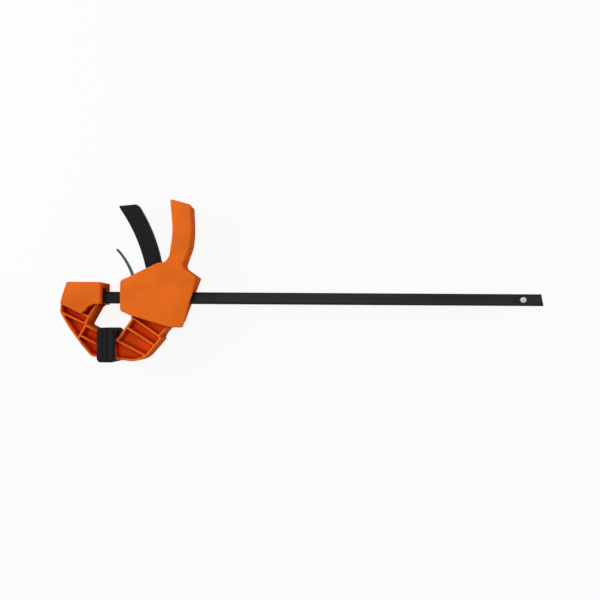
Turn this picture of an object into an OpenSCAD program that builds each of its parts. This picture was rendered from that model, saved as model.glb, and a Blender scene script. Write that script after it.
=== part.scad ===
// Quick release bar clamp: a one-hand trigger clamp on a flat steel bar, closed and lying on its back.
// +X runs along the bar to its free end, +Y towards the handle, and +Z out of the front cover.
// The origin is on the bar's centre line, in the plane where the fixed jaw's pad clamps.

/* [Bar] */
// Height of the bar, from edge to edge
bar_h = 10.8; // [9.6:0.1:12]
// Thickness of the bar
bar_t = 4.8; // [4.2:0.1:5.4]
// Free end of the bar, from the clamping face
bar_reach = 397.4; // [260:0.2:620]
// Tail of the bar inside the fixed jaw, from the clamping face
bar_tail = 33; // [30:0.5:36]
// How far the free end leans along the bar
end_slant = 2.2; // [0:0.1:4]
// Centre of the stop pin from the free end
stop_inset = 19.4; // [16:0.2:30]
// Diameter of the stop pin
stop_pin_d = 5.4; // [4:0.1:6]
// How far the stop pin stands out of each side of the bar
stop_pin_out = 2.2; // [1.5:0.1:5]
// Centre of the drilled dimple from the stop pin
dimple_pitch = 7; // [6.6:0.1:12]
// Diameter of the drilled dimple
dimple_d = 4; // [3:0.1:5]
// Depth of the drilled dimple
dimple_deep = 1.6; // [1:0.1:2.4]

/* [Fixed jaw] */
// Depth of the head that holds the bar
head_t = 27; // [25:0.5:29]
// Top of the head above the bar's centre line
head_top = 13.6; // [12:0.2:17]
// From the clamping face back to the head
head_gap = 5.2; // [4:0.1:6.5]
// Depth of the mouth in which the bar enters the head
mouth_deep = 5.4; // [3:0.2:5.6]
// Diameter of the two pins that hold the bar
jaw_pin_d = 4; // [3:0.1:4.6]
// Distance between the two pins
jaw_pin_pitch = 12; // [9:0.5:13]

/* [Jaw arms] */
// Depth of both ribbed arms
arm_t = 21; // [18:0.5:24]
// Thickness of the web in the middle of an arm
web_t = 3; // [2:0.1:4]
// Width of the rim that runs round an arm
rim_t = 2; // [1.6:0.1:2]
// Width of the ribs that cross an arm
rib_t = 1.8; // [1.4:0.1:2.4]
// Rounding at the foot of ribs and rims
cell_round = 0.5; // [0.3:0.1:0.8]

/* [Pads] */
// Thickness of each pad along the bar
pad_t = 6.9; // [6:0.1:8]
// Height of each pad
pad_h = 31.4; // [29:0.2:33]
// Depth of each pad
pad_w = 29; // [28:0.5:31]
// Top of the pads below the bar's centre line
pad_drop = 27.4; // [26.6:0.1:28]
// Thickness of the jaw plate that each pad covers
plate_t = 2.5; // [2:0.1:3]
// Lip of the pad above and below the jaw plate
lip_h = 3.2; // [3:0.1:4]
// Lip of the pad in front of and behind the jaw plate
lip_w = 1.8; // [1.4:0.1:2.4]
// Diameter of the studs that hold a pad
stud_d = 4.4; // [3.4:0.1:4.8]
// Distance between the two studs of a pad
stud_pitch = 12; // [9:0.5:14]
// Rounding of the pads' four corners
pad_round = 3; // [1:0.1:3.6]
// Width of the grooves on the sides of a pad
groove_w = 0.9; // [0.5:0.1:1.4]
// Gap between the closed pads
closed_gap = 0.1; // [0.1:0.1:0.5]

/* [Body] */
// Depth of the body
body_t = 29; // [28:0.5:31]
// Thickness of the front cover and of the housing's back
cover_t = 3.2; // [2.8:0.1:3.6]
// Thickness of the housing's side walls
wall = 2.5; // [2:0.1:3]
// From the clamping face to the body's nose
nose_gap = 12.7; // [12:0.1:14]
// Height of the handle's top corner above the bar's centre line
handle_top = 89.4; // [84:0.2:96]
// Depth of the handle
handle_t = 20; // [19:0.5:24]
// Diameter of the cover screws
screw_d = 3; // [2.5:0.1:3.4]
// Diameter of the cover screws' heads
screw_head_d = 6; // [5:0.1:6.4]
// Length of the body's screws under the head
screw_len = 20; // [16:0.5:21]
// Length of the handle's screws under the head
handle_screw_len = 12; // [10:0.5:13]
// Height of the cover screws' heads
screw_head_t = 2.1; // [1.8:0.1:2.6]
// Diameter of the screw posts
post_d = 6.6; // [6:0.1:7]

/* [Trigger] */
// Depth of the trigger
trigger_t = 11; // [10:0.2:14]
// Top of the trigger above the bar's centre line
trigger_top = 85.2; // [80:0.2:92]
// Diameter of the trigger's pivot pin
pivot_d = 4; // [3.4:0.1:4.6]
// Squeeze of the trigger, in degrees
squeeze = 13; // [8:0.5:13]

/* [Drive] */
// Thickness of each of the two drive plates
drive_t = 3; // [2.4:0.1:3.2]
// Depth of the drive plates
drive_w = 19; // [17:0.5:20]
// Thickness of the washer behind the drive plates
washer_t = 0.8; // [0.6:0.1:1.2]
// Wire of the drive spring
drive_wire = 1.5; // [1.2:0.1:1.6]
// Turns of the drive spring
drive_turns = 4; // [3:0.5:4]

/* [Release lever] */
// Thickness of the release lever's sheet
brake_t = 1.6; // [1.4:0.1:1.8]
// Width of the release lever where the bar passes through it
brake_w = 12; // [11:0.2:13]
// Width of the finger tab where it leaves the body
tab_w = 7; // [6:0.2:10]
// Width of the finger tab at its tip
tip_w = 5; // [4.4:0.2:6]
// Radius to which the finger tab is bent
bend_r = 66; // [58:0.5:80]
// Bend of the finger tab, in degrees
bend = 34.6; // [28:0.2:38]
// Tilt of the release lever when it grips, in degrees
brake_tilt = 9; // [6:0.5:10]
// Wire of the brake spring
brake_wire = 0.7; // [0.5:0.05:0.8]
// Turns of the brake spring
brake_turns = 4; // [3:0.5:5]

/* [Fits] */
// Gap on each side between the bar and what slides along it
slide_gap = 0.2; // [0.1:0.05:0.3]
// Radial clearance of a pin that turns
pin_gap = 0.05; // [0.03:0.01:0.1]
// Clearance of a piece that is pressed or glued into its seat
seat_gap = 0.03; // [0.02:0.01:0.05]
// Gap between pieces that move past each other
move_gap = 0.35; // [0.3:0.05:0.5]

/* [Hidden] */
$fn = 48;

orange = [0.86, 0.41, 0.14];
black = [0.14, 0.14, 0.14];
rubber = [0.11, 0.11, 0.12];
steel = [0.72, 0.73, 0.75];
dark_steel = [0.28, 0.28, 0.30];

cut = 1;              // how far a cut runs past the face it opens
tiny = 0.01;          // the same for a cone
arc_step = 9;         // degrees for each side of a rounded corner
arc_side = 4;         // longest side of a rounded corner
coil_rings = 20;      // rings of a coiled wire in each turn
clearance = 0.4;      // room that the inside of the body leaves round what is in it
sunk = 0.3;           // how far pins and screw heads lie below the back
half_bar = bar_h / 2;
half_t = bar_t / 2;

// ---- Outlines -------------------------------------------------------------------------------------

function unit(v) = v / norm(v);

// The points of one corner p between its neighbours a and b, rounded to radius r
function corner(a, p, b, r) = r == 0 ? [p] :
    let (
        u = unit(a - p),
        v = unit(b - p),
        half = acos(u * v) / 2,
        centre = p + unit(u + v) * r / sin(half),
        first = p + u * r / tan(half) - centre,
        start = atan2(first.y, first.x),
        turn = (180 - 2 * half) * sign(cross(v, u)),
        steps = max(2, ceil(abs(turn) / arc_step), ceil(r * abs(turn) * PI / 180 / arc_side))
    )
    [for (i = [0:steps]) centre + r * [cos(start + turn * i / steps), sin(start + turn * i / steps)]];

function at(p) = [p.x, p.y];

// An outline from corners that are each given as [x, y, radius]
function rounded(corners) =
    let (n = len(corners))
    [for (i = [0:n - 1])
        each corner(at(corners[(i + n - 1) % n]), at(corners[i]), at(corners[(i + 1) % n]), corners[i].z)];

module layer(from, to) translate([0, 0, from]) linear_extrude(to - from) children();

// A straight strip of width w from p to q
module strip(p, q, w) {
    side = unit([p.y - q.y, q.x - p.x]) * w / 2;
    polygon([p + side, q + side, q - side, p - side]);
}

// The hollows on both sides of an arm's web, between its rim and its ribs
module arm_cells(outline, ribs) {
    for (side = [0, 1]) mirror([0, 0, side]) layer(web_t / 2, arm_t / 2 + cut)
        offset(r = cell_round) offset(delta = -cell_round) difference() {
            offset(delta = -rim_t) polygon(outline);
            for (rib = ribs) strip(rib[0], rib[1], rib_t);
        }
}

// A wire of diameter d wound into a coil of mean diameter mean, from x = 0 to x = long
module coil(mean, d, long, turns) {
    sides = 8;
    rings = ceil(turns * coil_rings);
    ring = function (i)
        let (
            turn = 360 * turns * i / rings,
            middle = [d / 2 + (long - d) * i / rings, mean / 2 * cos(turn), mean / 2 * sin(turn)],
            out = [0, cos(turn), sin(turn)],
            along = unit([(long - d) / turns, -PI * mean * sin(turn), PI * mean * cos(turn)]),
            up = cross(along, out)
        )
        [for (k = [0:sides - 1]) middle + d / 2 * (out * cos(360 * k / sides) + up * sin(360 * k / sides))];
    points = [for (i = [0:rings]) each ring(i)];
    skin = [for (i = [0:rings - 1], k = [0:sides - 1])
        let (a = i * sides + k, b = i * sides + (k + 1) % sides)
        [b, a, a + sides, b + sides]];
    caps = [[for (k = [0:sides - 1]) k], [for (k = [sides - 1:-1:0]) rings * sides + k]];
    polyhedron(points = points, faces = concat(skin, caps), convexity = 8);
}

// ---- Bar ------------------------------------------------------------------------------------------

stop_x = bar_reach - stop_inset;
dimple_x = stop_x - dimple_pitch;
centre_mark = 0.5;                      // depth of the turning centre in each end of the stop pin
jaw_pin_mid = -(head_gap + bar_tail) / 2;
jaw_pins_x = [jaw_pin_mid - jaw_pin_pitch / 2, jaw_pin_mid + jaw_pin_pitch / 2];
jaw_pin_skin = 4;                       // what the head leaves in front of the pins
jaw_pin_top = head_t / 2 - jaw_pin_skin;

module bar_hole(x, d) translate([x, 0, 0]) cylinder(d = d, h = bar_t + 2 * cut, center = true);

module bar() color(black) difference() {
    layer(-half_t, half_t) polygon([
        [-bar_tail, -half_bar], [bar_reach, -half_bar],
        [bar_reach - end_slant, half_bar], [-bar_tail, half_bar]
    ]);
    translate([dimple_x, 0, half_t - dimple_deep]) cylinder(d1 = 0, d2 = dimple_d, h = dimple_deep + tiny);
    bar_hole(stop_x, stop_pin_d + 2 * seat_gap);
    for (x = jaw_pins_x) bar_hole(x, jaw_pin_d + 2 * seat_gap);
}

// A turned pin with a centre mark in each end
module stop_pin() color(steel) translate([stop_x, 0, 0]) difference() {
    end = half_t + stop_pin_out;
    cylinder(d = stop_pin_d, h = 2 * end, center = true);
    for (side = [0, 1]) mirror([0, 0, side]) translate([0, 0, end - centre_mark])
        cylinder(r1 = 0, r2 = centre_mark + tiny, h = centre_mark + tiny);
}

// ---- Fixed jaw ------------------------------------------------------------------------------------

pad_mid = -pad_drop - pad_h / 2;
pad_foot = -pad_drop - pad_h;
plate_top = -pad_drop - lip_h;
plate_foot = pad_foot + lip_h;
plate_w = pad_w - 2 * lip_w;
mouth_top = half_bar + 3.2;             // the mouth above the bar, and it is open below
mouth_side = half_t + 4.6;              // the mouth in front of and behind the bar

// The smooth block round the bar, which ends in a point over the ribs
head_corners = [
    [-35.4, head_top, 1.8], [-head_gap, head_top, 1.2], [-head_gap, -6.3, 1], [-10.5, -6.3, 2],
    [-17.6, -9.2, 6], [-19, -12.4, 3], [-22.6, -14.9, 1.2], [-41.2, -6.2, 0.8], [-39.4, 1.6, 20]
];
// The ribbed arm, from inside the head down to the jaw plate, which closes its cells
fixed_arm_foot = plate_foot + 2;
fixed_arm_corners = [
    [-36, 0, 0], [-8, 0, 0], [-8, -6.8, 1], [-10, -8.4, 1], [-19, -24.4, 1.6], [-pad_t, plate_top, 0],
    [rim_t - pad_t, plate_top, 0], [rim_t - pad_t, fixed_arm_foot, 0], [-pad_t, fixed_arm_foot, 0],
    [-13.4, fixed_arm_foot - 0.4, 7], [-23, -43, 8], [-34.8, -26.8, 30], [-42.6, -13.6, 9],
    [-41.4, -4, 4]
];
fixed_ribs = [
    [[-42, -5.1], [-15, -18.6]],        // along the head's point
    [[-42, -13.6], [-16, -26]],         // from the rim to the throat
    [[-9.4, -8], [-25.4, -36.4]],       // along the throat and on to the rim
    [[-25, -34.2], [-pad_t, -43.6]]     // from the rim to the jaw plate
];

module along_bar(x, y, z) translate([x, y, z]) rotate([0, 90, 0]) children();

// The plate that a pad is pulled over, with its back at x = 0 and the pad to the right
module jaw_plate() translate([0, plate_foot, -plate_w / 2]) cube([plate_t, plate_top - plate_foot, plate_w]);

// Blind holes in the plate for the studs of a pad
module stud_holes() for (z = studs_z) along_bar(stud_skin - seat_gap, stud_y, z)
    cylinder(d = stud_d + 2 * seat_gap, h = plate_t - stud_skin + seat_gap + cut);

module fixed_jaw() color(orange) difference() {
    union() {
        difference() {
            layer(-arm_t / 2, arm_t / 2) polygon(rounded(fixed_arm_corners));
            arm_cells(rounded(fixed_arm_corners), fixed_ribs);
        }
        layer(-head_t / 2, head_t / 2) polygon(rounded(head_corners));
        translate([-pad_t, 0, 0]) jaw_plate();
    }
    cube([2 * (bar_tail + seat_gap), bar_h + 2 * seat_gap, bar_t + 2 * seat_gap], center = true);
    translate([-head_gap - mouth_deep, mouth_top - head_t, -mouth_side])
        cube([mouth_deep + cut, head_t, 2 * mouth_side]);
    for (x = jaw_pins_x) translate([x, 0, -head_t / 2 - cut])
        cylinder(d = jaw_pin_d + 2 * seat_gap, h = jaw_pin_top + head_t / 2 + cut);
    translate([-pad_t, 0, 0]) stud_holes();
}

// One of the two pins that are driven in from the back, through the head and the bar
module jaw_pin(x) color(steel) translate([x, 0, -head_t / 2 + sunk])
    cylinder(d = jaw_pin_d, h = jaw_pin_top + head_t / 2 - 2 * sunk);
module jaw_pin_left() jaw_pin(jaw_pins_x[0]);
module jaw_pin_right() jaw_pin(jaw_pins_x[1]);

// ---- Pads -----------------------------------------------------------------------------------------

pad_edge = 1;                           // rounding of the clamping face's upper and lower edge
pad_back = 2.4;                         // rounding of the pad's back
groove_deep = 0.6;
stud_y = pad_mid - 4.2;
studs_z = [-stud_pitch / 2, stud_pitch / 2];
stud_skin = 0.8;                        // what the plate leaves behind a stud
stud_root = 0.5;                        // how far a stud goes into the pad
moving_face = closed_gap;               // clamping face of the closed moving jaw

pad_corners = [
    [0, -pad_drop, pad_edge], [0, pad_foot, pad_edge],
    [-pad_t, pad_foot, pad_back], [-pad_t, -pad_drop, pad_back]
];
// The pad as seen along the bar
pad_face_corners = [
    [-pad_drop, -pad_w / 2, pad_round], [-pad_drop, pad_w / 2, pad_round],
    [pad_foot, pad_w / 2, pad_round], [pad_foot, -pad_w / 2, pad_round]
];

// An outline in y and z, drawn out along the bar
module profile(from, to, corners) translate([from, 0, 0]) rotate([90, 0, 90]) linear_extrude(to - from)
    polygon(rounded(corners));

// A rubber boot over the jaw plate; its clamping face is at x = 0 and its back at x = -pad_t
module pad() color(rubber) {
    difference() {
        intersection() {
            layer(-pad_w / 2, pad_w / 2) polygon(rounded(pad_corners));
            profile(-pad_t - cut, cut, pad_face_corners);
        }
        translate([-pad_t - cut, plate_foot - seat_gap, -plate_w / 2 - seat_gap])
            cube([plate_t + cut + seat_gap, plate_top - plate_foot + 2 * seat_gap, plate_w + 2 * seat_gap]);
        for (z = [-pad_w / 2, pad_w / 2]) translate([-(pad_t - plate_t) / 2, pad_mid, z])
            cube([groove_w, pad_h + 2 * cut, 2 * groove_deep], center = true);
    }
    for (z = studs_z) along_bar(stud_skin - pad_t, stud_y, z)
        cylinder(d = stud_d, h = plate_t - stud_skin + stud_root);
}

module fixed_jaw_pad() pad();
module moving_jaw_pad() translate([moving_face, 0, 0]) mirror([1, 0, 0]) pad();

// ---- Body -----------------------------------------------------------------------------------------

part_z = body_t / 2 - cover_t;          // where the front cover meets the housing
floor_z = -part_z;                      // inside of the housing's back
neck = [24, 38];                        // the body thins down to the handle between these heights
post_split = -2;                        // where the cover's posts meet the housing's
plate_back = moving_face + pad_t;       // back of the moving pad

nose_corners = [[nose_gap, -12.2, 3.4], [nose_gap, 14.9, 3.4], [22, 19.1, 20]];
handle_fall = 5.1;                      // how far the handle's top slopes down towards the palm
handle_corners = [
    [46.3, 31.6, 4], [52, 31.5, 5], [55.5, 37.6, 12], [58.8, 59.5, 80], [56, handle_top, 1.6],
    [74.9, handle_top - handle_fall, 2.4], [76, 61, 80], [74.6, 46.5, 30], [67.6, 28.3, 4]
];
shoulder = [80.9, 18.9, 1.6];
housing_heel = [[65.4, -22.8, 2.4], [56.6, -23.4, 12], [23.2, -16, 8]];
// The cover laps over the arm and over the housing's right wall
cover_heel = [[79.7, 10.8, 8], [75.2, -3, 20], [68.8, -27, 2.8], [57.4, -26.8, 12], [23.2, -16.8, 8]];
housing_outline = rounded(concat(nose_corners, handle_corners, [shoulder], housing_heel));
cover_outline = rounded(concat(nose_corners, handle_corners, [shoulder], cover_heel));

// The ribbed arm, from inside the body down to the jaw plate, which closes its cells
moving_arm_corners = [
    [22.4, -13.6, 0], [21.8, -19.8, 1.6], [10.2, -36, 1.2], [plate_back, -38.2, 0],
    [plate_back - rim_t, -38.2, 0], [plate_back - rim_t, plate_foot, 0], [plate_back, plate_foot, 0],
    [plate_back, plate_foot - 1, 0.4], [13, -56.5, 20], [31.2, -59, 20], [49.6, -37.2, 1],
    [47.9, -35, 0.6], [59.4, -22.4, 0]
];
moving_ribs = [
    [[22, -17.6], [50.5, -37.4]],
    [[16, -26], [44, -44]],
    [[7, -38.2], [37.5, -54]]
];

// Places of the moving pieces inside the body
pivot = [43, -half_bar - 7.3];          // trigger
pivot_r = 3.8;                          // hub of the trigger and the bosses beside it
pin_play = 0.2;                         // end play of the trigger pin
pivot_end = part_z - sunk;              // end of the trigger pin's bore
nose_x = 45.4;                          // where the trigger's nose pushes the drive plates
nose_y = half_bar + 4.1;
drive_x = nose_x + move_gap;            // left face of the drive plates
spring_x = drive_x + 2 * drive_t + washer_t;
seat_x = 66;                            // wall that carries the drive spring
seat_t = 2.4;
seat_top = 22;
brake_pivot = [26, -half_bar - 3.6];    // foot of the release lever
rocker_w = 6;                           // width of the seat that the foot rocks in
brake_seat_x = 31.6;                    // rib that carries the brake spring
brake_rib_t = 2.2;

post_r = post_d / 2;
post_sink = 0.4;                        // how far the post at the nose runs into the wall
post_room = 1.8;                        // between the bar and the posts beside it
body_posts = [
    [nose_gap + wall + post_r - post_sink, half_bar + post_room + post_r],
    [33, -half_bar - post_room - post_r],
    [57.6, -17.4],
    [73.4, 13.4]
];
handle_posts = [[64.2, 42], [66, handle_top - 11.6]];
all_posts = concat(body_posts, handle_posts);

// Slots in the housing's upper wall
slot_foot = half_bar + 8.6;
trigger_slot = [33.2, 61.6];            // from x to x
trigger_slot_top = 50;
lever_slot = [18.8, 28.4];
lever_slot_top = 30;

module bar_window(from, to) translate([(from + to) / 2, 0, 0])
    cube([to - from, bar_h + 2 * slide_gap, bar_t + 2 * slide_gap], center = true);

module slot(from, to, top, w) translate([from, slot_foot, -w / 2 - clearance])
    cube([to - from, top - slot_foot, body_t]);

// Half the depth of body and handle at a post
function half_depth(p) = (p.y < neck[0] ? body_t : handle_t) / 2;

// What lies between the front and the back of body and handle, by at least gap
module between(gap) {
    body = body_t / 2 - gap;
    handle = handle_t / 2 - gap;
    profile(0, 2 * shoulder.x, [
        [-body_t, -body, 0], [neck[0], -body, 0], [neck[1], -handle, 0], [2 * handle_top, -handle, 0],
        [2 * handle_top, handle, 0], [neck[1], handle, 0], [neck[0], body, 0], [-body_t, body, 0]
    ]);
}

// What lies inside the housing's outline, by at least gap
module inside(gap) offset(delta = -gap) polygon(housing_outline);

// A wall across the inside of the housing
module cross_wall(x, w, from, to) layer(floor_z, part_z) intersection() {
    translate([x, from]) square([w, to - from]);
    inside(wall / 2);
}

// The back, the side walls and the whole ribbed arm in one moulding
module housing() color(orange) difference() {
    union() {
        difference() {
            intersection() {
                layer(-body_t, 0) polygon(housing_outline);
                between(0);
            }
            between(cover_t);
        }
        intersection() {
            layer(-body_t, body_t) difference() {
                polygon(housing_outline);
                inside(wall);
            }
            between(cover_t);
        }
        difference() {
            layer(-arm_t / 2, arm_t / 2) polygon(rounded(moving_arm_corners));
            arm_cells(rounded(moving_arm_corners), moving_ribs);
            layer(-arm_t / 2 - cut, arm_t / 2 + cut) inside(wall / 2);
        }
        translate([plate_back, 0, 0]) mirror([1, 0, 0]) jaw_plate();
        for (p = all_posts) translate([p.x, p.y, cover_t - half_depth(p)])
            cylinder(r = post_r, h = half_depth(p) - cover_t + post_split);
        translate([pivot.x, pivot.y, floor_z]) cylinder(r = pivot_r, h = part_z - trigger_t / 2 - move_gap);
        cross_wall(seat_x, seat_t, -body_t, seat_top);
        cross_wall(brake_seat_x, brake_rib_t, half_bar + cut, lever_slot_top);
        cross_wall(brake_pivot.x - rocker_w / 2, rocker_w, -body_t, brake_pivot.y);
    }
    bar_window(nose_gap - cut, nose_gap + wall + cut);
    bar_window(seat_x - cut, shoulder.x + cut);
    slot(trigger_slot[0], trigger_slot[1], trigger_slot_top, trigger_t);
    slot(lever_slot[0], lever_slot[1], lever_slot_top, brake_w);
    translate([brake_pivot.x, brake_pivot.y, -brake_w / 2 - clearance])
        cylinder(r = brake_t / 2 + pin_gap, h = brake_w + 2 * clearance);
    translate([pivot.x, pivot.y, -pivot_end]) cylinder(d = pivot_d + 2 * seat_gap, h = body_t);
    for (p = all_posts) translate([p.x, p.y, -half_depth(p) - cut]) {
        cylinder(d = screw_head_d + clearance, h = sunk + screw_head_t + cut);
        cylinder(d = screw_d + clearance, h = body_t);
    }
    translate([plate_back, 0, 0]) mirror([1, 0, 0]) stud_holes();
}

// The smooth front of body and handle, with the posts that the screws bite into
module front_cover() color(orange) difference() {
    union() {
        difference() {
            intersection() {
                layer(0, body_t) polygon(cover_outline);
                between(0);
            }
            between(cover_t);
        }
        intersection() {
            for (p = all_posts) translate([p.x, p.y, post_split])
                cylinder(r = post_r, h = half_depth(p) - cover_t - post_split);
            layer(post_split, part_z) inside(wall + clearance);
        }
        layer(trigger_t / 2 + move_gap, part_z) intersection() {
            translate(pivot) circle(r = pivot_r);
            inside(wall + clearance);
        }
    }
    translate([pivot.x, pivot.y, 0]) cylinder(d = pivot_d + 2 * seat_gap, h = pivot_end);
    for (p = all_posts) translate([p.x, p.y, post_split - cut])
        cylinder(d = screw_d + 2 * seat_gap, h = half_depth(p) - cover_t - post_split + cut);
}

recess = [3.2, 0.8, 1.2];               // one arm of the screws' cross recess

// Pan-head screws, driven in from the back
module screws(posts, long) color(dark_steel) for (p = posts)
    translate([p.x, p.y, sunk - half_depth(p)]) difference() {
        union() {
            cylinder(d = screw_head_d, h = screw_head_t);
            cylinder(d = screw_d, h = screw_head_t + long);
        }
        for (turn = [0, 90]) rotate(turn) translate([-recess.x / 2, -recess.y / 2, -cut])
            cube([recess.x, recess.y, recess.z + cut]);
    }
module body_screws() screws(body_posts, screw_len);
module handle_screws() screws(handle_posts, handle_screw_len);

module trigger_pin() color(steel) translate([pivot.x, pivot.y, 0])
    cylinder(d = pivot_d, h = 2 * (pivot_end - pin_play), center = true);

// ---- Trigger --------------------------------------------------------------------------------------

fork_top = half_bar + 3.2;              // root of the fork that straddles the bar
fork_w = bar_t + 2 * move_gap;
trigger_corners = [
    [7.9, trigger_top - 1.6, 1.2], [25.2, trigger_top, 2.6], [39.7, 60.2, 150], [48, 25.4, 1], [44.4, 16, 3],
    [43.4, nose_y + 2.4, 1], [nose_x, nose_y + 1, 0.6], [nose_x, nose_y - 1.4, 0.6], [44, 0, 3],
    [45, pivot.y, 0], [39.4, pivot.y, 0], [39.2, 8, 8], [33.6, 25.6, 20], [25.9, 56, 150]
];

// The curved lever; inside the body it forks to straddle the bar
module trigger() color(black) difference() {
    union() {
        layer(-trigger_t / 2, trigger_t / 2) polygon(rounded(trigger_corners));
        translate([pivot.x, pivot.y, 0]) cylinder(r = pivot_r, h = trigger_t, center = true);
    }
    translate([pivot.x - body_t / 2, fork_top - body_t, -fork_w / 2]) cube([body_t, body_t, fork_w]);
    translate([pivot.x, pivot.y, 0])
        cylinder(d = pivot_d + 2 * pin_gap, h = trigger_t + 2 * cut, center = true);
}

// ---- Drive ----------------------------------------------------------------------------------------

drive_foot = -half_bar - 4.1;
drive_head = half_bar + 6.6;

// A hardened plate with a slot for the bar, across the bar
module drive_plate(x) color(dark_steel) translate([x, 0, 0]) difference() {
    translate([0, drive_foot, -drive_w / 2]) cube([drive_t, drive_head - drive_foot, drive_w]);
    bar_window(-cut, drive_t + cut);
}
module drive_plate_left() drive_plate(drive_x);
module drive_plate_right() drive_plate(drive_x + drive_t);

spring_inner = 2 * norm([half_bar, half_t]) + 2 * clearance;
spring_mean = spring_inner + drive_wire;
washer_edge = 0.5;                      // how far the washer stands out of the spring
washer_d = spring_mean + drive_wire + 2 * washer_edge;

module drive_washer() color(steel) along_bar(drive_x + 2 * drive_t, 0, 0) difference() {
    cylinder(d = washer_d, h = washer_t);
    translate([0, 0, -cut]) cylinder(d = spring_inner, h = washer_t + 2 * cut);
}

module drive_spring() color(steel) translate([spring_x, 0, 0])
    coil(spring_mean, drive_wire, seat_x - spring_x, drive_turns);

// ---- Release lever --------------------------------------------------------------------------------

// The sheet as it grips: straight from its foot through the bar, then one long bend to the finger tab
lever_straight = 18.6;                  // from the foot to the bend
lever_side = [cos(brake_tilt), sin(brake_tilt)];
lever_up = [-sin(brake_tilt), cos(brake_tilt)];
bend_centre = brake_pivot + lever_up * lever_straight - lever_side * bend_r;
bend_steps = 12;
function bent(r) = [for (i = [0:bend_steps])
    let (a = brake_tilt + bend * i / bend_steps)
    bend_centre + r * [cos(a), sin(a)]];
function backwards(points) = [for (i = [len(points) - 1:-1:0]) points[i]];
lever_outline = concat(
    [brake_pivot + lever_side * brake_t / 2],
    bent(bend_r + brake_t / 2),
    backwards(bent(bend_r - brake_t / 2)),
    [brake_pivot - lever_side * brake_t / 2]
);
tab_top = bend_centre.y + bend_r * sin(brake_tilt + bend) + brake_t / 4;
shoulder_y = half_bar + 6;              // above this the lever narrows to its finger tab
tab_y = shoulder_y + 8;
tab_round = 2;
// The lever as seen along the bar
lever_front_corners = [
    [brake_pivot.y - brake_t, -brake_w / 2, 0], [shoulder_y, -brake_w / 2, 3], [tab_y, -tab_w / 2, 8],
    [tab_top, -tip_w / 2, tab_round], [tab_top, tip_w / 2, tab_round],
    [tab_y, tab_w / 2, 8], [shoulder_y, brake_w / 2, 3], [brake_pivot.y - brake_t, brake_w / 2, 0]
];
brake_mid = brake_pivot.x + brake_pivot.y * tan(brake_tilt);    // where the lever crosses the bar's middle
brake_slot = (bar_h + 2 * slide_gap + brake_t * sin(brake_tilt)) / cos(brake_tilt);

module release_lever() color(dark_steel) difference() {
    union() {
        intersection() {
            layer(-brake_w / 2, brake_w / 2) polygon(lever_outline);
            profile(-bend_r, brake_pivot.x + 2 * brake_t, lever_front_corners);
        }
        translate([brake_pivot.x, brake_pivot.y, 0]) cylinder(d = brake_t, h = brake_w, center = true);
    }
    translate([brake_mid, 0, 0]) rotate(brake_tilt)
        cube([4 * brake_t, brake_slot, bar_t + 2 * slide_gap], center = true);
}

brake_coil_d = 5;
brake_spring_y = half_bar + 4.4;
brake_rise = brake_spring_y - brake_pivot.y;
brake_face = brake_pivot.x - brake_rise * tan(brake_tilt) + brake_t / 2 / cos(brake_tilt);

module brake_spring() color(steel) translate([brake_face + move_gap, brake_spring_y, 0])
    coil(brake_coil_d - brake_wire, brake_wire, brake_seat_x - brake_face - move_gap, brake_turns);

// ---------------------------------------------------------------------------------------------------

bar();
stop_pin();
fixed_jaw();
jaw_pin_left();
jaw_pin_right();
fixed_jaw_pad();
housing();
front_cover();
body_screws();
handle_screws();
moving_jaw_pad();
trigger_pin();
trigger();
drive_plate_left();
drive_plate_right();
drive_washer();
drive_spring();
release_lever();
brake_spring();
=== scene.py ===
import math

import bmesh
import bpy
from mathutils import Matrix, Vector


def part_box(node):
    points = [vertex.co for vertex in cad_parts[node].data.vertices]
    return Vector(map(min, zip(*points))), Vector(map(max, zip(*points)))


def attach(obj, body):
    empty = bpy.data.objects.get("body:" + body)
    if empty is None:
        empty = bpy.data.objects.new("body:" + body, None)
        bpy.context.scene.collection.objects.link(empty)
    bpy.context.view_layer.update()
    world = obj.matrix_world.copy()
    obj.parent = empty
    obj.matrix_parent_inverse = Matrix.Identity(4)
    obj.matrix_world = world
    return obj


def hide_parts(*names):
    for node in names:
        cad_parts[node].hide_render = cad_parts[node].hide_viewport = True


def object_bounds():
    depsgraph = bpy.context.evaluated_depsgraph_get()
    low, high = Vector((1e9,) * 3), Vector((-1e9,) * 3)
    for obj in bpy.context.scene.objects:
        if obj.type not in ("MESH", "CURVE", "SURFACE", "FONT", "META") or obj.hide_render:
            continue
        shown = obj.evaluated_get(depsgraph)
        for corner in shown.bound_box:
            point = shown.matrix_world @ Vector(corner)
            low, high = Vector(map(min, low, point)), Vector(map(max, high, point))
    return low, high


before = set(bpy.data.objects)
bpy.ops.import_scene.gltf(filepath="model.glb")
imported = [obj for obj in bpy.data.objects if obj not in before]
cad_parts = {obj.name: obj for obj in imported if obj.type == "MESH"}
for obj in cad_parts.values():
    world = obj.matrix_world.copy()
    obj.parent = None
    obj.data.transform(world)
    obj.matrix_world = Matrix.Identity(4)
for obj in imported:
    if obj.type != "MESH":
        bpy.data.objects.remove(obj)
cad_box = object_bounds()
scene = bpy.context.scene
MM = 0.001


# ---- Camera, straight above the clamp ----------------------------------------------------------------

PHOTO = 600             # the photo's width and height, in pixels
PHOTO_SHIFT = 21.7      # how far its frame is shifted up, in pixels
PHOTO_TURN = 0.006      # how far it is turned, in radians

camera = bpy.data.objects.new("camera", bpy.data.cameras.new("camera"))
scene.collection.objects.link(camera)
camera.data.sensor_width = 36
camera.data.lens = 33.91
camera.data.clip_start = 0.01
camera.data.shift_y = PHOTO_SHIFT / PHOTO
camera.location = (0.1742, -0.02105, 0.52)
camera.rotation_euler = (0, 0, PHOTO_TURN)
scene.camera = camera


# ---- Material tools ----------------------------------------------------------------------------------

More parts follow.
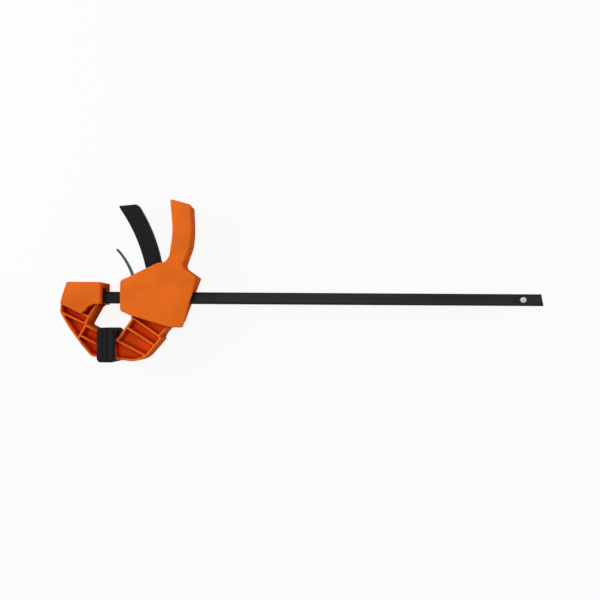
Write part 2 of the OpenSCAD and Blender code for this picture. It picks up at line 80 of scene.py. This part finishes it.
class Material:
    """A node material around one Principled shader, in object coordinates; noise scales are per metre."""

    SOCKETS = {"colour": "Base Color", "rough": "Roughness", "metallic": "Metallic", "specular": "Specular IOR Level"}

    def __init__(self, name):
        self.material = bpy.data.materials.new(name)
        self.material.use_nodes = True
        self.tree = self.material.node_tree
        self.shader = self.tree.nodes["Principled BSDF"]
        self.place = self.node("ShaderNodeTexCoord").outputs["Object"]

    def node(self, kind, **values):
        made = self.tree.nodes.new(kind)
        for key, value in values.items():
            setattr(made, key, value)
        return made

    def link(self, a, b):
        self.tree.links.new(a, b)

    def put(self, value, socket):
        """Gives a socket its value: another socket, a colour or a number."""
        if isinstance(value, bpy.types.NodeSocket):
            self.link(value, socket)
        else:
            socket.default_value = (*value, 1) if hasattr(value, "__len__") else value

    def stretched(self, scale):
        mapping = self.node("ShaderNodeMapping")
        mapping.inputs["Scale"].default_value = scale
        self.link(self.place, mapping.inputs["Vector"])
        return mapping.outputs["Vector"]

    def noise(self, scale, detail=3.0, rough=0.5, stretch=None):
        made = self.node("ShaderNodeTexNoise")
        made.inputs["Scale"].default_value = scale
        made.inputs["Detail"].default_value = detail
        made.inputs["Roughness"].default_value = rough
        self.link(self.stretched(stretch) if stretch else self.place, made.inputs["Vector"])
        return made.outputs["Fac"]

    def cells(self, scale):
        made = self.node("ShaderNodeTexVoronoi")
        made.inputs["Scale"].default_value = scale
        self.link(self.place, made.inputs["Vector"])
        return made.outputs["Distance"]

    def ramp(self, value, *stops):
        """Two grey stops, each (position, level)."""
        made = self.node("ShaderNodeValToRGB")
        for element, (position, level) in zip(made.color_ramp.elements, stops):
            element.position = position
            element.color = (level, level, level, 1)
        self.link(value, made.inputs["Fac"])
        return made.outputs["Color"]

    def mix(self, share, a, b):
        """Mixes two colours; share, a and b are each a socket or a value."""
        made = self.node("ShaderNodeMix", data_type="RGBA")
        factor, first, second = made.inputs[0], made.inputs[6], made.inputs[7]
        for socket, value in ((factor, share), (first, a), (second, b)):
            self.put(value, socket)
        return made.outputs[2]

    def range(self, value, low, high, start=0.0, end=1.0):
        made = self.node("ShaderNodeMapRange")
        for name, number in (("From Min", start), ("From Max", end), ("To Min", low), ("To Max", high)):
            made.inputs[name].default_value = number
        self.link(value, made.inputs["Value"])
        return made.outputs["Result"]

    def bump(self, *layers):
        """Stacks bump layers, each (height, strength, distance in mm)."""
        last = None
        for height, strength, distance in layers:
            made = self.node("ShaderNodeBump")
            made.inputs["Strength"].default_value = strength
            made.inputs["Distance"].default_value = distance * MM
            self.link(height, made.inputs["Height"])
            if last:
                self.link(last, made.inputs["Normal"])
            last = made.outputs["Normal"]
        self.link(last, self.shader.inputs["Normal"])

    def edges(self, reach=0.6):
        """1 on outer edges and 0 farther than reach mm from them, found by looking into the piece."""
        made = self.node("ShaderNodeAmbientOcclusion", samples=8, inside=True, only_local=True)
        made.inputs["Distance"].default_value = reach * MM
        return self.range(made.outputs["AO"], 1, 0, 0.55, 0.92)

    def painted_shade_mask(self, reach, power):
        """A mask for painted shade: 1 in the open, towards 0 in hollows narrower than reach mm."""
        made = self.node("ShaderNodeAmbientOcclusion", samples=12)
        made.inputs["Distance"].default_value = reach * MM
        bent = self.node("ShaderNodeMath", operation="POWER")
        bent.inputs[1].default_value = power
        self.link(made.outputs["AO"], bent.inputs[0])
        return bent.outputs[0]

    def set(self, **values):
        for key, value in values.items():
            self.put(value, self.shader.inputs[self.SOCKETS[key]])
        return self.material


def times(colour, factor):
    return tuple(min(1, c * factor) for c in colour)


def moulded(name, base, light, shade_colour, rough, specular, grain=1.0):
    """Moulded nylon: slow flow marks, a fine spark-eroded grain, edges lighter in patches (part rubbed wear, part
    painted highlight), and painted shade in hollows.
    """
    m = Material(name)
    flow = m.noise(28, 4, 0.55, stretch=(1, 1.6, 0.7))
    speck = m.noise(900, 2)
    colour = m.mix(m.ramp(flow, (0.35, 0.0), (0.65, 1.0)), times(base, 0.90), times(base, 1.08))
    colour = m.mix(m.range(speck, 0, 0.05, 0.35, 0.75), colour, light)
    # edges lighter in noisy patches: part rubbed wear, part painted highlight on the rounded edges
    wear_and_highlight = m.mix(m.edges(), (0, 0, 0), m.ramp(m.noise(160, 4), (0.3, 0.25), (0.7, 0.55)))
    colour = m.mix(wear_and_highlight, colour, light)
    # painted shade: hollows take a darker, redder colour, and narrow hollows go darker still
    colour = m.mix(m.painted_shade_mask(12, 1.0), shade_colour, colour)
    colour = m.mix(m.painted_shade_mask(4, 1.3), times(shade_colour, 0.22), colour)
    m.bump((m.noise(1500, 3, 0.6), 0.25 * grain, 0.03), (m.noise(240, 2), 0.10, 0.05))
    return m.set(colour=colour, rough=m.range(m.noise(120, 3), rough - 0.05, rough + 0.06), specular=specular)


def steel(name, base, rough, scratch=(1, 1, 1), metallic=1.0, worn=(0.35, 0.35, 0.36)):
    """Bare or blackened steel with drawn grain, fine scratches and bright edges."""
    m = Material(name)
    grain = m.noise(260, 6, 0.7, stretch=scratch)
    stain = m.noise(60, 4)
    colour = m.mix(m.range(stain, 0, 0.5, 0.35, 0.75), base, times(base, 0.72))
    colour = m.mix(m.range(grain, 0, 0.25, 0.4, 0.8), colour, times(base, 1.35))
    rubbed = m.mix(m.edges(0.4), (0, 0, 0), m.ramp(m.noise(300, 4), (0.42, 0.0), (0.62, 0.75)))
    colour = m.mix(rubbed, colour, worn)
    m.bump((grain, 0.12, 0.02))
    return m.set(colour=colour, rough=m.range(grain, rough - 0.07, rough + 0.09, 0.3, 0.7), metallic=metallic)


def painted_bar():
    """Black finish on a rolled bar: streaks along it, scuffs from the sliding jaw, bright specks on its edges, and
    painted shade near black where it runs into hollows.
    """
    m = Material("bar_black")
    streaks = m.noise(90, 6, 0.65, stretch=(0.05, 3, 3))
    clouds = m.noise(24, 4)
    base = (0.0145, 0.0148, 0.0148)
    colour = m.mix(m.range(streaks, 0, 1, 0.35, 0.68), times(base, 0.78), times(base, 1.3))
    colour = m.mix(m.range(clouds, 0, 0.35, 0.4, 0.7), colour, (0.021, 0.021, 0.022))
    chips = m.mix(m.edges(0.4), (0, 0, 0), m.ramp(m.noise(420, 5, 0.7), (0.58, 0.0), (0.70, 0.5)))
    colour = m.mix(chips, colour, (0.16, 0.16, 0.165))
    # painted shade: the bar goes near black inside hollows, such as the fixed jaw's mouth
    colour = m.mix(m.painted_shade_mask(8, 1.6), (0.001, 0.001, 0.001), colour)
    m.bump((m.noise(900, 3), 0.18, 0.02), (streaks, 0.12, 0.02))
    return m.set(colour=colour, rough=m.range(streaks, 0.38, 0.52, 0.3, 0.7), specular=0.09)


def rubber():
    """Soft pads: matte, faintly dusty, with a fine pebble and a painted highlight along their edges."""
    m = Material("pad_rubber")
    pebble = m.cells(1100)
    dust = m.noise(70, 5, 0.6)
    colour = m.mix(m.range(dust, 0, 0.6, 0.42, 0.75), (0.0115, 0.0118, 0.0125), (0.020, 0.020, 0.021))
    # painted highlight: the pads' edges a little lighter all round
    colour = m.mix(m.edges(0.5), colour, (0.024, 0.024, 0.025))
    m.bump((pebble, 0.25, 0.03), (m.noise(320, 3), 0.15, 0.05))
    return m.set(colour=colour, rough=m.range(dust, 0.70, 0.86), specular=0.08)


def black_sheet():
    """Blackened spring sheet: satin, with wipe marks and bright specks on its stamped edges."""
    m = Material("lever_black")
    wipe = m.noise(140, 5, 0.6, stretch=(1, 0.35, 1))
    base = (0.020, 0.020, 0.021)
    colour = m.mix(m.range(wipe, 0, 1, 0.35, 0.7), times(base, 0.8), times(base, 1.4))
    rubbed = m.mix(m.edges(0.3), (0, 0, 0), m.ramp(m.noise(500, 4), (0.5, 0.0), (0.66, 0.5)))
    colour = m.mix(rubbed, colour, (0.20, 0.20, 0.21))
    m.bump((m.noise(700, 3), 0.12, 0.02))
    return m.set(colour=colour, rough=m.range(wipe, 0.24, 0.36), specular=0.3)


ORANGE = (0.80, 0.150, 0.014)
SALMON = (0.95, 0.24, 0.07)         # specks, and the edges' lighter colour: part rubbed wear, part painted highlight
DEEP_RED_SHADE = (0.86, 0.024, 0.0)       # painted shade in the hollows between the ribs, redder to stand in for light bounced off orange often
# the last colour of each nylon is the painted shade in its hollows
orange_nylon = moulded("orange_nylon", ORANGE, SALMON, DEEP_RED_SHADE, 0.68, 0.015)
black_nylon = moulded("black_nylon", (0.0115, 0.0115, 0.0118), (0.030, 0.030, 0.030), (0.005, 0.005, 0.005),
                      0.60, 0.05, grain=1.6)
bar_black = painted_bar()
pad_rubber = rubber()
lever_black = black_sheet()
bright_steel = steel("bright_steel", (0.46, 0.46, 0.47), 0.32, metallic=0.6, worn=(0.70, 0.70, 0.70))
black_zinc = steel("screw_black_zinc", (0.12, 0.12, 0.13), 0.38)
hard_steel = steel("plate_steel", (0.20, 0.20, 0.21), 0.42, scratch=(1, 0.15, 1))
spring_steel = steel("spring_steel", (0.45, 0.45, 0.46), 0.34)


# ---- Mesh tools --------------------------------------------------------------------------------------

SHARP = math.radians(24)        # edges that bend more than this can be rounded
FLAT = math.radians(0.6)        # faces that bend less than this are joined
SLIVER = 0.04                   # edges shorter than this are closed up, in mm


def merged(node):
    """The node's CAD faces, with the triangles of each flat face joined again."""
    bm = bmesh.new()
    bm.from_mesh(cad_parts[node].data)
    bmesh.ops.remove_doubles(bm, verts=bm.verts, dist=SLIVER * MM)
    bmesh.ops.dissolve_limit(bm, angle_limit=FLAT, verts=bm.verts, edges=bm.edges)
    bm.normal_update()
    return bm


def middle(edge):
    """The middle of an edge, in mm."""
    return (edge.verts[0].co + edge.verts[1].co) / (2 * MM)


def added(name, bm, material):
    """A new object in the scene from a bmesh, all of it smooth."""
    for face in bm.faces:
        face.smooth = True
        face.material_index = 0
    mesh = bpy.data.meshes.new(name)
    bm.to_mesh(mesh)
    bm.free()
    mesh.materials.clear()
    mesh.materials.append(material)
    piece = bpy.data.objects.new(name, mesh)
    scene.collection.objects.link(piece)
    return piece


def rounded(piece, width, segments=3):
    """Rounds a piece's edges by a width in mm, and gives back the modifier."""
    bevel = piece.modifiers.new("rounded", "BEVEL")
    bevel.width = width * MM
    bevel.segments = segments
    bevel.harden_normals = True
    return bevel


def dressed(node, body, material, widths, segments=3):
    """A copy of the node with its edges rounded; widths gives each outer edge's width in mm, or 0."""
    bm = merged(node)
    weight = bm.edges.layers.float.new("bevel_weight_edge")
    wanted = {e: widths(e, middle(e)) if e.is_convex else 0 for e in bm.edges
              if len(e.link_faces) == 2 and e.calc_face_angle(0) > SHARP}
    most = max(wanted.values())
    for edge, width in wanted.items():
        edge[weight] = width / most
        edge.smooth = width > 0
    piece = added(node + "_skin", bm, material)
    bevel = rounded(piece, most, segments)
    bevel.limit_method = "WEIGHT"
    bevel.use_clamp_overlap = False
    bevel.loop_slide = True
    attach(piece, body)
    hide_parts(node)


def solids(node):
    """The middle of each separate solid of a node, in mm."""
    bm = merged(node)
    left = set(bm.verts)
    found = []
    while left:
        group = {left.pop()}
        rim = set(group)
        while rim:
            rim = {e.other_vert(v) for v in rim for e in v.link_edges} - group
            group |= rim
        left -= group
        lows, highs = ([pick(v.co[i] for v in group) for i in range(3)] for pick in (min, max))
        found.append((Vector(lows) + Vector(highs)) / (2 * MM))
    bm.free()
    return found


def near(p, centres, radius):
    return any((p - centre).xy.length < radius for centre in centres)


def on_faces(edge, half):
    """Whether an edge lies on a piece's front or on its back, each half mm from its middle."""
    return any(all(abs(v.co.z / MM - z) < 0.02 for v in edge.verts) for z in (half, -half))


def cad_half(node, where):
    """Half the depth of a node in mm, from its back where its height y fits."""
    return -min(v.co.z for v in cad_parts[node].data.vertices if where(v.co.y / MM)) / MM


# ---- Bar and fixed jaw -------------------------------------------------------------------------------

# Places in mm. Those marked "inside" lie just inside the edge that they find.
BAR_TOP, BAR_FACE = 5.3, 2.3    # inside the bar's half height and half thickness
BAR_END = 360                   # the drilled free end lies past this
BAR_RIMS = 2                    # the rims of its holes lie farther from the middle than this
STOP_PIN = Vector((378, 0))
HEAD_HALF = 13.5                # half the depth of the fixed jaw's head
ARM_HALF = 10.5                 # half the depth of both ribbed arms
PAD_SIDE = 14.4                 # inside the pads' half depth
FACE_NEAR = 0.2                 # the clamping faces lie nearer than this to x = 0
HOLE_RIM = 2.3                  # outside the rim of a jaw pin's hole
PIN_RIM = 2                     # inside the stop pin's radius

jaw_pins = solids("jaw_pin_left") + solids("jaw_pin_right")


def bar_widths(edge, p):
    if abs(p.y) > BAR_TOP and abs(p.z) > BAR_FACE:
        return 0.5
    return 0.25 if p.x > BAR_END and abs(p.z) > BAR_RIMS else 0


def pin_widths(edge, p):
    return 0.5 if (p.xy - STOP_PIN).length > PIN_RIM else 0


def fixed_jaw_widths(edge, p):
    if on_faces(edge, HEAD_HALF):
        return 0.2 if near(p, jaw_pins, HOLE_RIM) else 0.75
    return 0.45 if on_faces(edge, ARM_HALF) else 0


def pad_widths(edge, p):
    return 0.6 if abs(p.z) > PAD_SIDE or abs(p.x) < FACE_NEAR else 0


LIP_T = 1.0             # thickness of the rubber that folds round the back of a jaw plate, in mm
LIP_SIDE = 13.8         # half its width
LIP_ROUND = 2.4         # radius of its corners
LIP_STEPS = 5           # steps round a corner
LIP_EDGE = 0.3          # how far its edges are rounded
ARM_SIDE = 10.6         # half the width that it leaves free for the arm


def back_lip(pad, body, closed, inner, open_end):
    """Rubber behind a pad's jaw plate, from its closed height past the arm's near side to its open end, in mm."""
    low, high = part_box(pad)
    right = abs(high.x) > abs(low.x)
    plate = (high.x if right else low.x) / MM
    back = plate + (LIP_T if right else -LIP_T)
    up = 1 if open_end > closed else -1
    turns = [math.pi / 2 * i / LIP_STEPS for i in range(LIP_STEPS + 1)]
    corner = [(closed + up * LIP_ROUND * (1 - math.sin(t)), LIP_SIDE - LIP_ROUND * (1 - math.cos(t)))
              for t in turns]
    half = [(inner, ARM_SIDE), (open_end, ARM_SIDE), (open_end, LIP_SIDE)] + corner
    outline = half + [(y, -z) for y, z in reversed(half)]
    bm = bmesh.new()
    rings = [[bm.verts.new((x * MM, y * MM, z * MM)) for y, z in outline] for x in (plate, back)]
    for ring in rings:
        bm.faces.new(ring)
    for i in range(len(outline)):
        bm.faces.new((rings[0][i - 1], rings[0][i], rings[1][i], rings[1][i - 1]))
    bmesh.ops.recalc_face_normals(bm, faces=bm.faces)
    piece = added(pad + "_lip", bm, pad_rubber)
    rounded(piece, LIP_EDGE).angle_limit = SHARP
    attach(piece, body)


back_lip("fixed_jaw_pad", "bar_and_fixed_jaw", -57.0, -53.8, -30.4)
back_lip("moving_jaw_pad", "moving_jaw", -29.2, -37.4, -56.6)

dressed("bar", "bar_and_fixed_jaw", bar_black, bar_widths)
dressed("stop_pin", "bar_and_fixed_jaw", bright_steel, pin_widths)
dressed("fixed_jaw", "bar_and_fixed_jaw", orange_nylon, fixed_jaw_widths)
dressed("fixed_jaw_pad", "bar_and_fixed_jaw", pad_rubber, pad_widths)


# ---- Moving jaw --------------------------------------------------------------------------------------

NECK = (24, 38)             # the body thins down to the handle between these heights, in mm
BODY_HALF = cad_half("housing", lambda y: y < 0)
HANDLE_HALF = cad_half("housing", lambda y: y > 60)
COVER_RIM = 3.2             # how far the cover's rim lies below its face, in mm
COUNTERBORE = 3.4           # outside a screw's counterbore
SCREW_HEAD = 0.3            # how deep a screw's head lies below the back
SCREW_RIM = 2.8             # inside the head's outer rim
TRIGGER_FREE = 14           # the trigger is outside the body above this height
TRIGGER_SIDE = 5.4          # inside the trigger's half depth

screws = solids("body_screws") + solids("handle_screws")


def half_depth(y):
    share = min(1, max(0, (y - NECK[0]) / (NECK[1] - NECK[0])))
    return BODY_HALF + (HANDLE_HALF - BODY_HALF) * share


def on_shell(edge, side, below=0.0):
    """Whether an edge lies on the front (side 1) or the back (side -1) of body and handle, or below it."""
    return all(abs(v.co.z / MM - side * (half_depth(v.co.y / MM) - below)) < 0.03 for v in edge.verts)


def cover_widths(edge, p):
    if on_shell(edge, 1):
        return 1.2
    return 0.2 if on_shell(edge, 1, COVER_RIM) else 0


def housing_widths(edge, p):
    if on_shell(edge, -1):
        return 0.2 if near(p, screws, COUNTERBORE) else 1.2
    return 0.45 if on_faces(edge, ARM_HALF) else 0


def trigger_widths(edge, p):
    return 1.1 if p.y > TRIGGER_FREE and abs(p.z) > TRIGGER_SIDE else 0


def lever_widths(edge, p):
    return 0.3


def screw_widths(edge, p):
    """Rounds a screw's head on its outer rim, like a pan head."""
    head = abs(p.z + half_depth(p.y) - SCREW_HEAD) < 0.1
    return 0.7 if head and not near(p, screws, SCREW_RIM) else 0


dressed("housing", "moving_jaw", orange_nylon, housing_widths)
dressed("front_cover", "moving_jaw", orange_nylon, cover_widths, segments=4)
dressed("moving_jaw_pad", "moving_jaw", pad_rubber, pad_widths)
dressed("trigger", "trigger", black_nylon, trigger_widths, segments=4)
dressed("release_lever", "release_lever", lever_black, lever_widths)
dressed("body_screws", "moving_jaw", black_zinc, screw_widths)
dressed("handle_screws", "moving_jaw", black_zinc, screw_widths)


# ---- CAD pieces that stay, with finished materials ---------------------------------------------------

KEPT = {
    "jaw_pin_left": bright_steel, "jaw_pin_right": bright_steel, "trigger_pin": bright_steel,
    "drive_washer": bright_steel,
    "drive_plate_left": hard_steel, "drive_plate_right": hard_steel,
    "drive_spring": spring_steel, "brake_spring": spring_steel,
}
for name, material in KEPT.items():
    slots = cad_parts[name].data.materials
    slots.clear()
    slots.append(material)


# ---- Floor and backdrop ------------------------------------------------------------------------------

FLOOR_HALF = 4.0        # half the floor's width, in metres
FLOOR_GAP = 0.0004      # the floor lies this far below the clamp
FLOOR_SEEN = 0.9        # share of the floor that is plain white where it is seen; the rest takes the shadow
FLOOR_GREY = 0.35       # what the floor sends back to the clamp
FILL = 0.2              # what the world lights the clamp with


def shader(tree, kind, grey, strength=None):
    made = tree.nodes.new(kind)
    made.inputs["Color"].default_value = (grey, grey, grey, 1)
    if strength is not None:
        made.inputs["Strength"].default_value = strength
    return made


def mixed(tree, first, second, share=0.5):
    made = tree.nodes.new("ShaderNodeMixShader")
    made.inputs["Fac"].default_value = share
    tree.links.new(first.outputs[0], made.inputs[1])
    tree.links.new(second.outputs[0], made.inputs[2])
    return made


def shown(tree, hidden, seen, output):
    """Shows one shader to the camera, and to metal and glass, and another one to all other rays."""
    path = tree.nodes.new("ShaderNodeLightPath")
    share = path.outputs["Is Camera Ray"]
    for kind in ("Is Glossy Ray", "Is Transmission Ray"):
        either = tree.nodes.new("ShaderNodeMath")
        either.operation = "MAXIMUM"
        tree.links.new(share, either.inputs[0])
        tree.links.new(path.outputs[kind], either.inputs[1])
        share = either.outputs[0]
    both = mixed(tree, hidden, seen)
    tree.links.new(share, both.inputs["Fac"])
    tree.links.new(both.outputs[0], tree.nodes[output].inputs["Surface"])


floor_z = cad_box[0][2] - FLOOR_GAP
floor_mesh = bpy.data.meshes.new("floor")
floor_mesh.from_pydata([(x * FLOOR_HALF, y * FLOOR_HALF, floor_z) for x, y in ((-1, -1), (1, -1), (1, 1), (-1, 1))],
                       [], [(0, 1, 2, 3)])
floor = bpy.data.objects.new("floor", floor_mesh)
scene.collection.objects.link(floor)

paper = bpy.data.materials.new("pale_floor")
paper.use_nodes = True
tree = paper.node_tree
tree.nodes.remove(tree.nodes["Principled BSDF"])
white = mixed(tree, shader(tree, "ShaderNodeBsdfDiffuse", 0.8), shader(tree, "ShaderNodeEmission", 1, 1.0), FLOOR_SEEN)
shown(tree, shader(tree, "ShaderNodeBsdfDiffuse", FLOOR_GREY), white, "Material Output")
floor_mesh.materials.append(paper)

world = bpy.data.worlds.new("studio")
world.use_nodes = True
tree = world.node_tree
tree.nodes.remove(tree.nodes["Background"])
shown(tree, shader(tree, "ShaderNodeBackground", 1, FILL), shader(tree, "ShaderNodeBackground", 1, 1.0),
      "World Output")
scene.world = world


# ---- Light -------------------------------------------------------------------------------------------

LIGHT_AIM = Vector((0.12, 0, 0))


def softbox(name, place, size, watts):
    lamp = bpy.data.objects.new(name, bpy.data.lights.new(name, "AREA"))
    lamp.data.shape = "SQUARE"
    lamp.data.size = size
    lamp.data.energy = watts
    lamp.location = place
    lamp.rotation_euler = (LIGHT_AIM - Vector(place)).to_track_quat("-Z", "Y").to_euler()
    scene.collection.objects.link(lamp)


softbox("left", (-1.0, 0.3, 0.45), 0.6, 11)
softbox("right", (1.3, 0.15, 0.45), 0.6, 5)
softbox("top", (0.12, 0.2, 1.5), 0.7, 8)

scene.view_settings.view_transform = "Standard"
